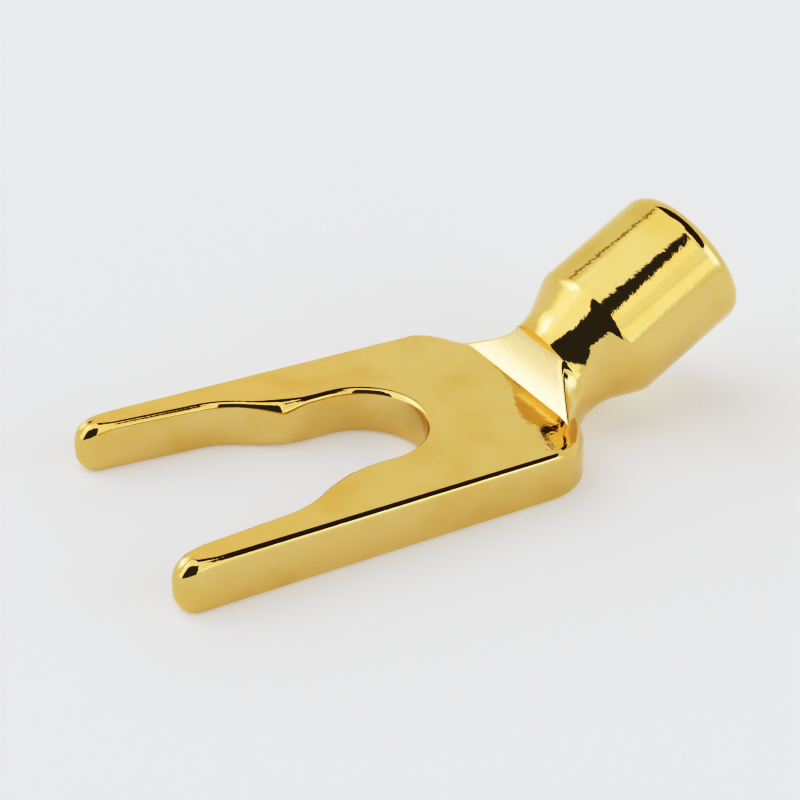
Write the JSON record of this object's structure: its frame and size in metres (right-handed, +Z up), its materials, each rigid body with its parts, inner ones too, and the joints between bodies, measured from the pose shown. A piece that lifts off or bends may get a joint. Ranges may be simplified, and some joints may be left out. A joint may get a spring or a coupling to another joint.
{
  "type": "fork terminal",
  "caption": "Fork terminal: a flat forked blade with a stepped slot that slips under a stud's nut, and a round barrel for the wire that rises from its back at an angle.",
  "frame": {"origin": "on the stud seat's axis, in the plane of the blade's underside", "axes": "+Z up out of the blade's top face, +X from the stud seat towards the barrel, +Y across the blade"},
  "size_m": [0.035, 0.0144, 0.0112],
  "materials": {
    "gold_plate": "polished gold plating with a fine orange-peel texture"
  },
  "bodies": {
    "root": {"fork_terminal": "gold_plate"}
  },
  "joints": []
}
